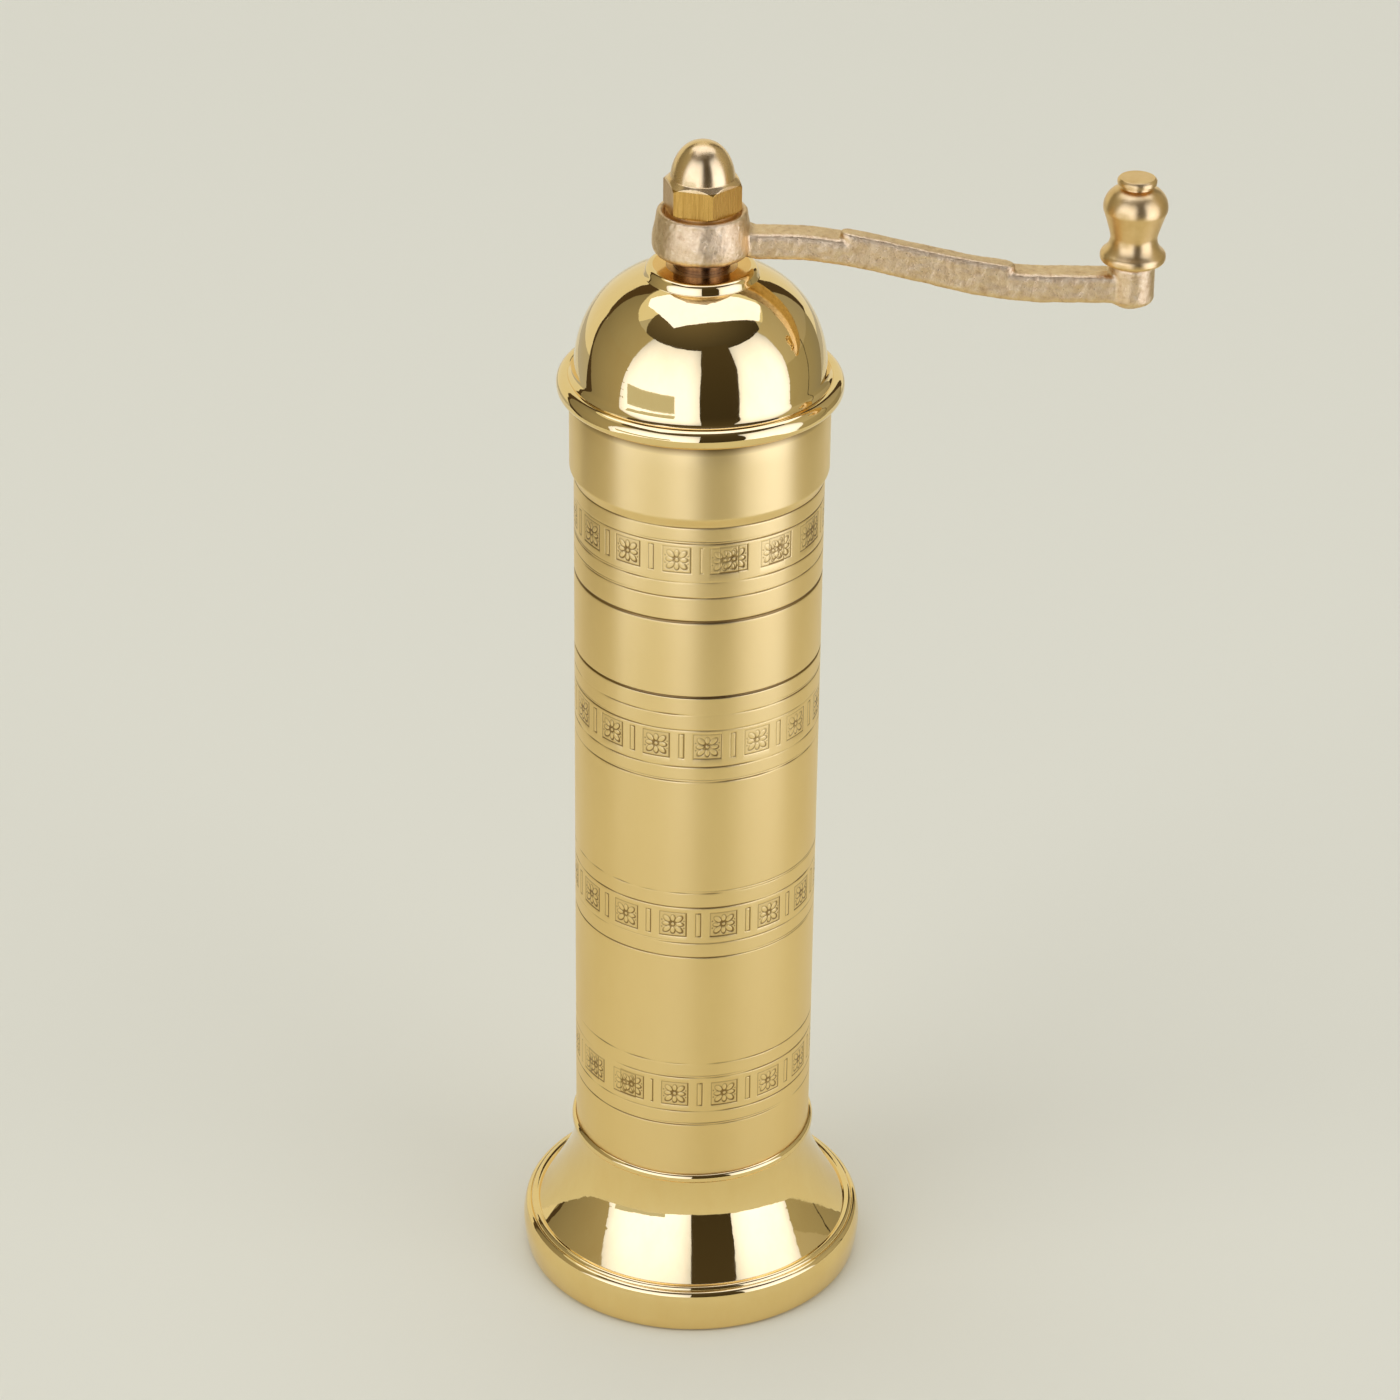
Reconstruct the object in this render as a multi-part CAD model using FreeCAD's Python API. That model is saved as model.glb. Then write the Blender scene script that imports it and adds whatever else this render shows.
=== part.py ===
"""Turned and spun brass hand mill for coffee: a receiver on a flared foot, a body that pulls off it
with the conical burrs and the hopper, a domed cap, and a cast crank held by an acorn nut.

Millimetres. +Z is up, the origin is at the middle of the foot's underside, and the crank points
along +X at rest."""
import FreeCAD, Part
import math
import os
from FreeCAD import Vector

# Driving dimensions
tube_r = 22.5                 # outside of the body tube
wall = 1.0                    # tube wall
foot_r = 32.9                 # widest part of the foot's rim
flare_r, flare_z = 30.0, 9.6  # lower end of the flare
foot_neck_r = 22.85
foot_neck_z = 26.0            # top of the flare
seat_z = 27.3                 # ledge inside the foot's lip, where the tube stands
foot_top_z = 29.8
joint_z = 133.2               # where the upper body parts from the receiver
label_top_z = 148.4           # bold groove above the plain band
mouth_r = 23.3                # expanded mouth of the upper tube
mouth_z = 169.2               # top of the joggle
cap_z = 183.3                 # top of the mouth, where the cap's bead rests
bead_r = 25.5
dome_r, dome_z = 22.58, 185.8 # widest section of the dome's curve, hidden by the bead
dome_height = 21.3
dome_power = 2.37             # a little fuller than an ellipse, which has 2
dome_foot_z = 188.2           # where the dome leaves its fillet
collar_r = 10.2
platform_z = 207.35           # flat top of the cap
hub_low_z = 209.8
hub_top_z = 217.8
hub_r = 8.75
crank_length = 75.0           # spindle axis to knob axis
arm_width = 6.0
arm_drop = 7.6
knob_top_z = 223.2
nut_z = 218.0
nut_top_z = 230.3
nut_across_flats = 12.25

# Rolled ring lines: four bands of two lines above and two below each row of rosettes
band_pitch = 37.4
lowest_band_z = 47.9
line_offsets = (-6.9, -3.8, 3.8, 6.9)
line_width, line_depth = 0.45, 0.12
bold_width, bold_depth = 0.9, 0.25

# Fits
running = 0.05                # radial clearance of every running and sliding fit
spigot_z = 121.0              # lower end of the spigot that enters the receiver

# Grinding gear
burr_low_z, burr_high_z = 125.0, 141.0
burr_low_r, burr_high_r = 12.5, 8.5
ring_burr_r = 16.0
throat_gap = 0.7              # radial gap between the burrs at the coarsest setting
shaft_r = 4.0
journal_r = 3.9
bore_r = journal_r + running
burr_square = 8.4             # across flats, drives the inner burr
crank_square = 6.4            # across flats, drives the crank
stud_r = 3.0
ball_r = 2.5
bridge_z = 118.0              # underside of the lower bridge
bridge_bolt_x = 17.6

origin, up = Vector(0, 0, 0), Vector(0, 0, 1)


def section(*stops):
    """Closed face in the XZ plane. A stop is (r, z), or (r, z, rm, zm) when an arc through
    (rm, zm) leads to it."""
    edges = []
    for here, stop in zip(stops, stops[1:] + stops[:1]):
        start, end = Vector(here[0], 0, here[1]), Vector(stop[0], 0, stop[1])
        if len(stop) == 4:
            edges.append(Part.Arc(start, Vector(stop[2], 0, stop[3]), end).toShape())
        else:
            edges.append(Part.makeLine(start, end))
    return Part.Face(Part.Wire(edges))


def turned(*stops, x=0.0):
    """Solid of revolution of a section about the upright axis at x."""
    shape = section(*stops).revolve(origin, up, 360)
    shape.translate(Vector(x, 0, 0))
    return shape


def disc(r, z_low, z_high, x=0.0):
    return Part.makeCylinder(r, z_high - z_low, Vector(x, 0, z_low))


def ring(r_in, r_out, z_low, z_high):
    return disc(r_out, z_low, z_high).cut(disc(r_in, z_low, z_high))


def block(x, y, z_low, z_high):
    """Upright block centred on the axis, x by y in plan."""
    return Part.makeBox(x, y, z_high - z_low, Vector(-x / 2, -y / 2, z_low))


def hexagon(across_flats, z_low, z_high, turn=0.0):
    corner_r = across_flats / math.sqrt(3)
    angles = [math.radians(turn + 60 * k) for k in range(7)]
    corners = [Vector(corner_r * math.cos(a), corner_r * math.sin(a), z_low) for a in angles]
    return Part.Face(Part.makePolygon(corners)).extrude(Vector(0, 0, z_high - z_low))


def grooves(z_low, z_high):
    """Heights, widths and depths of the ring lines that lie between two heights."""
    found = [(lowest_band_z + band_pitch * band + offset, line_width, line_depth)
             for band in range(4) for offset in line_offsets]
    found.append((label_top_z, bold_width, bold_depth))
    return [g for g in sorted(found) if z_low < g[0] < z_high]


def grooved(r, z_low, z_high):
    """Stops up the outside of a tube, dipping by an arc into each ring line."""
    stops = []
    for z, width, depth in grooves(z_low, z_high):
        stops += [(r, z - width / 2), (r, z + width / 2, r - depth, z)]
    return stops


# Receiver: foot, floor, tube

def base_shell():
    """Spun foot: lip bead, trumpet flare, thin bead and rolled rim band, turned in below."""
    thick = 1.0
    return turned(
        (30.0, 0.0), (31.2, 0.0), (32.4, 1.2, 32.0, 0.35), (foot_r, 5.2, 32.75, 3.2),
        (32.55, 7.9, 32.85, 6.6), (31.6, 9.05, 32.25, 8.7), (31.4, 8.95), (30.25, 9.55, 30.95, 9.6),
        (flare_r, flare_z - 0.1), (24.3, 19.3, 26.81, 14.25),
        (foot_neck_r, foot_neck_z, 23.28, 22.6), (22.9, 28.1),
        (23.25, 28.8, 23.22, 28.35), (22.65, foot_top_z, 23.1, 29.5), (tube_r, foot_top_z),
        (tube_r, seat_z), (tube_r - wall, seat_z), (tube_r - wall, foot_neck_z),
        (23.35, 18.9, 22.2, 22.4), (28.9, 9.3, 25.9, 13.7), (31.0, 7.9, 30.2, 8.7),
        (foot_r - thick, 5.2, 31.75, 6.6), (31.1, 1.7, 31.7, 3.2), (30.0, 1.4))


def base_plate():
    return disc(29.96, 0.0, 1.4)


def receiver_floor():
    return disc(tube_r, seat_z, seat_z + wall)


def receiver_tube():
    low, chamfer = seat_z + wall, bold_depth
    inner = tube_r - wall
    return turned((inner, low), (tube_r, low), *grooved(tube_r, low, joint_z),
                  (tube_r, joint_z - chamfer), (tube_r - chamfer, joint_z), (inner, joint_z))


# Upper body: tube, housing, ring burr, bridges

def upper_tube():
    inner, chamfer = tube_r - wall, bold_depth
    joggle_z = mouth_z - 2.2
    return turned((inner, joint_z), (tube_r - chamfer, joint_z), (tube_r, joint_z + chamfer),
                  *grooved(tube_r, joint_z, joggle_z), (tube_r, joggle_z), (mouth_r, mouth_z),
                  (mouth_r, cap_z), (mouth_r - wall, cap_z), (mouth_r - wall, mouth_z + 0.4),
                  (inner, joggle_z + 0.4))


def mill_housing():
    """Cast housing: its spigot enters the receiver, its funnel feeds the burrs."""
    spigot_r, press_r, outlet_r = tube_r - wall - running, tube_r - wall, 13.6
    body = turned((outlet_r, spigot_z), (spigot_r - 0.5, spigot_z), (spigot_r, spigot_z + 0.5),
                  (spigot_r, joint_z), (press_r, joint_z), (press_r, 149.0), (20.8, 149.0),
                  (ring_burr_r, 139.0), (ring_burr_r, 124.0), (outlet_r, 124.0))
    for x in (-bridge_bolt_x, bridge_bolt_x):
        body = body.cut(disc(1.5, spigot_z, spigot_z + 9.0, x))
    return body


def teeth(solid, count, r_at_low, r_at_high, z_low, z_high, depth, lean, inward):
    """Cuts V grooves along a cone, each leaning sideways by lean degrees over its height."""
    half, margin = math.pi / count * 0.8, 1.2
    side = -1.0 if inward else 1.0
    faces = []
    for z, r, twist in ((z_low, r_at_low, 0.0), (z_high, r_at_high, math.radians(lean))):
        edge_r, root_r = r + side * margin, r - side * depth
        spread = half * (1.0 + margin / depth)
        points = [Vector(edge_r * math.cos(twist + a), edge_r * math.sin(twist + a), z)
                  for a in (-spread, spread)]
        points.append(Vector(root_r * math.cos(twist), root_r * math.sin(twist), z))
        faces.append(Part.makePolygon(points + points[:1]))
    cutter = Part.makeLoft(faces, True, True)
    cutters = []
    for k in range(count):
        turned_cutter = cutter.copy()
        turned_cutter.rotate(origin, up, 360.0 * k / count)
        cutters.append(turned_cutter)
    return solid.cut(cutters)


def outer_burr():
    """Hardened ring burr: the bore narrows to the throat, then follows the inner cone."""
    slope = (burr_low_r - burr_high_r) / (burr_high_z - burr_low_z)
    throat_z, low_z, high_z, mouth = 131.0, 124.0, 139.0, 14.2
    low_r = burr_low_r + throat_gap + slope * (burr_low_z - low_z)
    throat_r = burr_low_r + throat_gap - slope * (throat_z - burr_low_z)
    blank = turned((low_r, low_z), (ring_burr_r, low_z), (ring_burr_r, high_z), (mouth, high_z),
                   (throat_r, throat_z))
    blank = teeth(blank, 12, throat_r, mouth, throat_z, high_z, 0.9, 14.0, True)
    return teeth(blank, 24, low_r, throat_r, low_z, throat_z, 0.6, 10.0, True)


def inner_burr():
    blank = turned((0.0, burr_low_z), (burr_low_r, burr_low_z), (burr_high_r, burr_high_z),
                   (0.0, burr_high_z))
    cut = teeth(blank, 16, burr_low_r, burr_high_r, burr_low_z, burr_high_z, 1.1, -24.0, False)
    return cut.cut(block(burr_square, burr_square, burr_low_z, burr_high_z))


def lower_bridge():
    """Bar across the spigot's foot, with the hub that holds the ball and adjusting screw."""
    bar = block(41.0, 9.0, bridge_z, spigot_z).common(disc(20.6, bridge_z, spigot_z))
    body = bar.fuse(turned((0, 108.0), (6.0, 108.0), (6.5, 108.5), (6.5, spigot_z), (0, spigot_z)))
    body = body.cut(disc(bore_r, 108.0, spigot_z))
    for x in (-bridge_bolt_x, bridge_bolt_x):
        body = body.cut(disc(1.5, bridge_z, spigot_z, x))
    return body.removeSplitter()


def bridge_screws():
    """Two identical cheese-head screws up through the bridge into the housing."""
    screws = []
    for x in (-bridge_bolt_x, bridge_bolt_x):
        screw = turned((0, 116.2), (2.4, 116.2), (2.75, 116.5), (2.75, bridge_z), (1.5, bridge_z),
                       (1.5, 129.5), (0, 129.5), x=x)
        slot = Part.makeBox(6.0, 0.8, 0.9, Vector(x - 3.0, -0.4, 116.2))
        screws.append(screw.cut(slot))
    return Part.makeCompound(screws)


def lock_nut():
    return hexagon(11.0, 104.5, 108.0).cut(disc(bore_r, 104.5, 108.0))


def upper_bridge():
    """Ring on the tube's joggle, with a bar along Y whose hub holds the upper bush."""
    low, high, rim_r = 169.8, 174.0, mouth_r - wall
    bar = block(7.0, 2 * rim_r, 170.4, 173.0).common(disc(rim_r, low, high))
    hub = disc(7.0, 167.0, 175.0)
    return bar.fuse([ring(rim_r - 1.5, rim_r, low, high), hub]).cut(
        disc(5.2, 167.0, 175.0)).removeSplitter()


def upper_bush():
    inner = shaft_r + running
    return turned((inner, 166.0), (7.0, 166.0), (7.0, 167.0), (5.2, 167.0), (5.2, 176.0),
                  (inner, 176.0))


def burr_spring():
    """Compression spring round the shaft, from the spring washer to the upper bush."""
    wire_r, coil_r, turns = 0.6, 5.3, 7.0
    low, high = 142.2 + wire_r, 166.0 - wire_r
    path = Part.makeHelix((high - low) / turns, high - low, coil_r)
    path.translate(Vector(0, 0, low))
    profile = Part.Wire(Part.makeCircle(wire_r, Vector(coil_r, 0, low), Vector(0, 1, 0.2)))
    return Part.Wire(path).makePipeShell([profile], True, True)


# Thrust ball and adjusting screw

ball_z = 115.5


def thrust_ball():
    return Part.makeSphere(ball_r, Vector(0, 0, ball_z))


def adjusting_screw():
    """Plain-ended screw with a cross-slotted knurled head below."""
    tip_z = ball_z - ball_r
    body = turned((0, 96.5), (6.4, 96.5), (7.2, 97.3), (7.2, 101.2), (6.4, 102.0), (journal_r, 102.0),
                  (journal_r, tip_z - 0.6), (journal_r - 0.6, tip_z), (0, tip_z))
    flutes = []
    for k in range(18):
        angle = math.radians(20 * k)
        flutes.append(Part.makeCylinder(0.7, 8.0, Vector(7.6 * math.cos(angle),
                                                         7.6 * math.sin(angle), 95.5)))
    slot = block(16.0, 1.6, 96.5, 98.0)
    return body.cut(flutes + [slot])


# Spindle and what turns with it

def spindle():
    """Shaft: lower journal, burr flange and square, long shaft, crank square, stud."""
    body = turned((0, 118.0), (journal_r - 0.4, 118.0), (journal_r, 118.4), (journal_r, 123.5),
                  (6.0, 123.5), (6.0, burr_low_z), (shaft_r, burr_low_z), (shaft_r, 216.0),
                  (stud_r, 216.0), (stud_r, 226.4), (stud_r - 0.6, 227.0), (0, 227.0))
    square = block(burr_square - 2 * running, burr_square - 2 * running, burr_low_z, burr_high_z)
    square = square.common(disc(5.4, burr_low_z, burr_high_z))
    rod = body.fuse(square)
    flats = disc(shaft_r + 1.0, hub_low_z, 216.0).cut(
        block(crank_square, crank_square, hub_low_z, 216.0))
    hole = Part.makeCylinder(0.8, 2 * shaft_r, Vector(-shaft_r, 0, 202.0), Vector(1, 0, 0))
    return rod.cut([flats, hole]).removeSplitter()


def spring_washer():
    return ring(shaft_r, 6.6, burr_high_z, 142.2)


def spindle_collar():
    """Sleeve pinned to the shaft, on which the crank hub rests."""
    body = turned((shaft_r, 199.0), (4.6, 199.0), (4.95, 199.35), (4.95, hub_low_z),
                  (shaft_r, hub_low_z))
    return body.cut(Part.makeCylinder(0.8, 10.0, Vector(-5.0, 0, 202.0), Vector(1, 0, 0)))


def collar_pin():
    return Part.makeCylinder(0.8, 9.6, Vector(-4.8, 0, 202.0), Vector(1, 0, 0))


# Cap

def dome_point(r, thick=0.0):
    """Height of the dome's curve at radius r, for the outside or a skin this much thinner."""
    wide, height = dome_r - thick, dome_height - thick
    return (r, dome_z + height * (1 - (r / wide) ** dome_power) ** (1 / dome_power))


def dome_side(z, thick=0.0):
    """Radius of the dome's curve at height z."""
    wide, height = dome_r - thick, dome_height - thick
    return (wide * (1 - ((z - dome_z) / height) ** dome_power) ** (1 / dome_power), z)


def dome_arcs(thick, top_r):
    """The curve from its foot to radius top_r as three arcs."""
    foot = dome_side(dome_foot_z, thick)
    marks = [dome_side(192.5, thick), dome_side(196.5, thick), dome_side(199.5, thick),
             dome_point(17.0 - thick, thick), dome_point(14.0, thick), dome_point(top_r, thick)]
    return [foot] + [marks[k + 1] + marks[k] for k in (0, 2, 4)]


def backwards(stops):
    """The same arcs walked the other way."""
    ends = [stop[:2] for stop in stops]
    return [ends[-1]] + [ends[k - 1] + stops[k][2:] for k in range(len(stops) - 1, 0, -1)]


def dome_cap():
    """Spun cap: rolled bead, dome, and a low collar round a flat top with the spindle hole."""
    thick, hole_r, inner_top_r = 0.8, 6.2, 9.2
    return turned(
        (mouth_r - wall, cap_z), (24.5, cap_z), (bead_r, 184.7, 25.25, 183.75),
        (23.6, 186.75, 25.0, 186.3), (23.4, 186.65), dome_side(dome_foot_z) + (22.85, 187.2),
        *dome_arcs(0.0, collar_r)[1:], (9.95, 206.25), (8.6, platform_z, 9.6, 207.05),
        (hole_r, platform_z), (hole_r, platform_z - thick), (inner_top_r, platform_z - thick),
        *backwards(dome_arcs(thick, inner_top_r)), (mouth_r - wall, 185.9))


def cap_skirt():
    """Soldered ring inside the cap, a sliding fit in the tube's mouth."""
    outer = mouth_r - wall - running
    return turned((outer - 1.4, 176.6), (outer - 0.5, 176.6), (outer, 177.4), (outer, 185.6),
                  (outer - 0.8, 185.6), (outer - 0.8, 177.4))


def cap_bush():
    """Bush for the spindle collar, flanged under the cap's flat top."""
    inner, flange_z = 4.95 + running, platform_z - 0.85
    return turned((inner, 204.6), (6.2, 204.6), (6.2, flange_z - 0.8), (7.4, flange_z - 0.8),
                  (7.4, flange_z), (6.2, flange_z), (6.2, platform_z), (inner, platform_z))


# Crank, nut, knob

def smooth(t):
    """Eased step from 0 to 1."""
    t = min(max(t, 0.0), 1.0)
    return t * t * (3.0 - 2.0 * t)


def arm_low(x):
    """Height of the arm's underside: level, an easy S down, level."""
    return 209.3 - arm_drop * smooth((x - 14.0) / 46.0)


def arm_high(x):
    return arm_low(x) + 4.8 + 0.5 * smooth((x - 20.0) / 40.0)


def swept_bar(x_low, x_high, low, high, width):
    """Upright slab between two height functions of x, width across Y."""
    steps = [x_low + (x_high - x_low) * k / 8 for k in range(9)]
    curves = []
    for height in (low, high):
        curve = Part.BSplineCurve()
        curve.interpolate([Vector(x, -width / 2, height(x)) for x in steps])
        curves.append(curve.toShape())
    ends = [Part.makeLine(Vector(x, -width / 2, low(x)), Vector(x, -width / 2, high(x)))
            for x in (x_low, x_high)]
    face = Part.Face(Part.Wire([curves[0], ends[1], curves[1], ends[0]]))
    return face.extrude(Vector(0, width, 0))


def crank_arm():
    """One casting: hub with a square hole, S-shaped arm with a raised pad, end boss."""
    recess_r, recess_z = 6.9, 216.8
    hub = turned((0, hub_low_z), (7.2, hub_low_z), (hub_r, 211.5, 8.4, 210.3),
                 (8.62, 213.5, 8.74, 212.5), (7.95, 217.1), (7.6, hub_top_z, 7.88, 217.6),
                 (recess_r + 0.4, hub_top_z), (recess_r, 217.4), (recess_r, recess_z),
                 (0, recess_z))
    arm = swept_bar(6.0, crank_length, arm_low, arm_high, arm_width)
    arm = arm.makeFillet(1.1, [e for e in arm.Edges if abs(e.BoundBox.XLength) > 50])
    pad = swept_bar(25.0, 53.5, lambda x: arm_low(x) + 2.0, lambda x: arm_high(x) + 1.0, 3.8)
    ends = [disc(1.9, arm_low(x) + 2.0, arm_high(x) + 1.0, x) for x in (25.0, 53.5)]
    boss = turned((0, 200.6), (2.4, 200.6), (2.8, 201.3), (3.7, 201.3), (4.05, 201.8),
                  (4.05, 208.4), (3.7, 208.8), (0, 208.8), x=crank_length)
    body = arm.fuse([pad, hub, boss] + ends)
    sole = disc(hub_r, 205.0, hub_low_z)
    square = crank_square + 2 * running
    return body.cut([sole, block(square, square, 205.0, hub_top_z),
                     disc(recess_r, recess_z, 220.0), disc(2.0, 200.0, 210.0, crank_length)])


def crank_washer():
    return ring(stud_r + running, 6.4, 216.8, nut_z)


def acorn_nut():
    """Hexagon with chamfered corners under a domed, blind end."""
    turn = -75.0
    cone = turned((0, nut_z), (6.6, nut_z), (7.2, nut_z + 0.5), (7.2, 222.6), (5.7, 223.9),
                  (0, 223.9))
    flats = hexagon(nut_across_flats, nut_z, 223.9, turn).common(cone)
    tip_r, rim_z = 5.25, 226.9
    tip_z = nut_top_z - tip_r
    rim_r = math.sqrt(tip_r ** 2 - (rim_z - tip_z) ** 2)
    skirt = turned((0, 223.0), (5.73, 223.0), (5.49, 225.0), (rim_r, rim_z), (0, rim_z))
    tip = Part.makeSphere(tip_r, Vector(0, 0, tip_z)).common(disc(tip_r, rim_z, nut_top_z + 1.0))
    bore = disc(stud_r + running, nut_z, 227.6)
    return flats.fuse([skirt, tip]).cut(bore).removeSplitter()


def knob():
    """Turned knob: flange, waist, bulb and a flat top, bored through for its pin."""
    low, bore = 209.0, 2.0 + running
    return turned((bore, low), (5.2, low), (5.73, 209.9, 5.6, 209.3), (5.3, 210.9, 5.65, 210.5),
                  (4.13, 213.8, 4.35, 212.2), (5.6, 218.5, 4.75, 216.0),
                  (3.3, 222.8, 5.05, 221.2), (3.1, knob_top_z), (bore, knob_top_z),
                  x=crank_length)


def knob_pin():
    """Shouldered rivet: head above the knob, tail peened over under the boss."""
    return turned((0, 200.2), (1.6, 200.4), (2.0, 200.8), (2.0, 223.4), (3.45, 223.4),
                  (3.45, 224.1), (3.1, 224.5), (0, 224.5), x=crank_length)


pieces = (base_shell, base_plate, receiver_floor, receiver_tube, upper_tube, mill_housing,
          outer_burr, inner_burr, lower_bridge, bridge_screws, lock_nut, upper_bridge, upper_bush,
          burr_spring, thrust_ball, adjusting_screw, spindle, spring_washer, spindle_collar,
          collar_pin, dome_cap, cap_skirt, cap_bush, crank_arm, crank_washer, acorn_nut, knob,
          knob_pin)

os.makedirs("parts", exist_ok=True)
for make in pieces:
    shape = make()
    if not shape.isValid():
        raise ValueError(make.__name__ + " is not a valid shape")
    shape.exportStep(f"parts/{make.__name__}.step")
    print(f"{make.__name__:16s} {len(shape.Solids)} solid {shape.Volume / 1000:8.3f} cm3")
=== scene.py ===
import math

import bpy
import numpy as np
from mathutils import Matrix, Vector


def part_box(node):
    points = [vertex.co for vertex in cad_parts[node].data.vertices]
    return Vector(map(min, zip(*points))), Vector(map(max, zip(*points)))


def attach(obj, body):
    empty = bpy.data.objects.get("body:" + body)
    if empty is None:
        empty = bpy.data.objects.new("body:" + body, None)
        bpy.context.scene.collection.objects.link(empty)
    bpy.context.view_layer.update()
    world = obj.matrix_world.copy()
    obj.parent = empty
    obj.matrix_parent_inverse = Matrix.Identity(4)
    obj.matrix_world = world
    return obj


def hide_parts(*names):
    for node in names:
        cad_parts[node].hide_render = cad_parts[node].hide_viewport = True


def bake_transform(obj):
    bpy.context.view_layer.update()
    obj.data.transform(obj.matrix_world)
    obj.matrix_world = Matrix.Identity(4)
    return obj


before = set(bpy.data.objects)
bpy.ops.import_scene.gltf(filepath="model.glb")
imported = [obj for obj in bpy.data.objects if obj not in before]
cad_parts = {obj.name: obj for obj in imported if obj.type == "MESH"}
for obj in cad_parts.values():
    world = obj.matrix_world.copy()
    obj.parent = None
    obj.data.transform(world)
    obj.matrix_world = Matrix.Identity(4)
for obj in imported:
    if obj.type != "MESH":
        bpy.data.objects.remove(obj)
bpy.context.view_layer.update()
mm = 0.001
inset = 0.03      # mm that the widest pieces stay inside the CAD shape


def span(node):
    # widest radius about the mill's axis, lowest and highest z of a CAD node, in millimetres
    low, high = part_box(node)
    return (high[1] - low[1]) / 2 / mm, low[2] / mm, high[2] / mm


# mesh helpers

def meshObject(name, points, quads, triangles=(), sharp=38.0):
    # points in mm; quads and triangles are index arrays, anticlockwise seen from outside
    quads = np.asarray(quads, np.int64).reshape(-1, 4)
    triangles = np.asarray(triangles, np.int64).reshape(-1, 3)
    mesh = bpy.data.meshes.new(name)
    mesh.vertices.add(len(points))
    mesh.vertices.foreach_set("co", (np.asarray(points, float) * mm).ravel())
    loops = np.concatenate([quads.ravel(), triangles.ravel()])
    sizes = np.concatenate([np.full(len(quads), 4), np.full(len(triangles), 3)])
    mesh.loops.add(len(loops))
    mesh.loops.foreach_set("vertex_index", loops)
    mesh.polygons.add(len(sizes))
    mesh.polygons.foreach_set("loop_start", np.concatenate([[0], np.cumsum(sizes)[:-1]]))
    mesh.polygons.foreach_set("use_smooth", np.ones(len(sizes), bool))
    mesh.update(calc_edges=True)
    mesh.validate()
    mesh.set_sharp_from_angle(angle=math.radians(sharp))
    obj = bpy.data.objects.new(name, mesh)
    bpy.context.scene.collection.objects.link(obj)
    return obj


def gridFaces(rows, cols, wrapRows=False):
    # quads of a grid of rows by cols points whose columns close on themselves
    i = np.arange(rows if wrapRows else rows - 1)[:, None]
    j = np.arange(cols)[None, :]
    a, b = i * cols + j, i * cols + (j + 1) % cols
    c, d = (i + 1) % rows * cols + (j + 1) % cols, (i + 1) % rows * cols + j
    return np.stack([a, b, c, d], -1).reshape(-1, 4)


def outline(stops, arcSteps=28):
    # (r, z) stops, or (r, z, rm, zm) when an arc through (rm, zm) leads there -> array of points
    points = [np.array(stops[0][:2], float)]
    for stop in stops[1:]:
        a, b = points[-1], np.array(stop[:2], float)
        if len(stop) == 2:
            points.append(b)
            continue
        m = np.array(stop[2:], float)
        # circle through three points: equal distance to a, m and b
        chords = 2 * np.array([m - a, b - a])
        centre = np.linalg.solve(chords, [m @ m - a @ a, b @ b - a @ a])
        angles = [math.atan2(*(p - centre)[::-1]) for p in (a, m, b)]
        turn = (angles[2] - angles[0]) % (2 * math.pi)
        if (angles[1] - angles[0]) % (2 * math.pi) > turn:
            turn -= 2 * math.pi
        radius = np.linalg.norm(a - centre)
        steps = int(np.clip(abs(turn) * radius / 0.3, 6, arcSteps))
        for t in np.linspace(0, 1, steps + 1)[1:]:
            angle = angles[0] + turn * t
            points.append(centre + radius * np.array([math.cos(angle), math.sin(angle)]))
    return np.array(points)


def eased(points, radius=0.12, closed=True, minTurn=22.0):
    # each sharp corner becomes a short curve with a support point on either side
    n, out = len(points), []
    for k in range(n):
        here = points[k]
        if not closed and k in (0, n - 1):
            out.append(here)
            continue
        back, ahead = points[k - 1] - here, points[(k + 1) % n] - here
        backLength, aheadLength = np.linalg.norm(back), np.linalg.norm(ahead)
        if min(backLength, aheadLength) < 1e-6:
            continue
        back, ahead = back / backLength, ahead / aheadLength
        turn = math.degrees(math.acos(np.clip(-back @ ahead, -1, 1)))
        if turn < minTurn:
            out.append(here)
            continue
        cut = min(radius, 0.3 * backLength, 0.3 * aheadLength)
        out.append(here + back * cut * 1.5)
        for t in np.linspace(0, 1, 5):
            out.append((1 - t) ** 2 * (here + back * cut) + 2 * t * (1 - t) * here
                       + t ** 2 * (here + ahead * cut))
        out.append(here + ahead * cut * 1.5)
    return np.array(out)


def cappedRod(name, grid, ends, sharp=38.0):
    # rings of points along a path, closed at both ends by a fan round its own centre point
    rows, cols = grid.shape[:2]
    j = np.arange(cols)
    k = (j + 1) % cols
    first = np.stack([np.full(cols, rows * cols), k, j], -1)
    last = np.stack([np.full(cols, rows * cols + 1), (rows - 1) * cols + j, (rows - 1) * cols + k], -1)
    return meshObject(name, np.concatenate([grid.reshape(-1, 3), ends]), gridFaces(rows, cols),
                      np.concatenate([first, last]), sharp=sharp)


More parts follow.
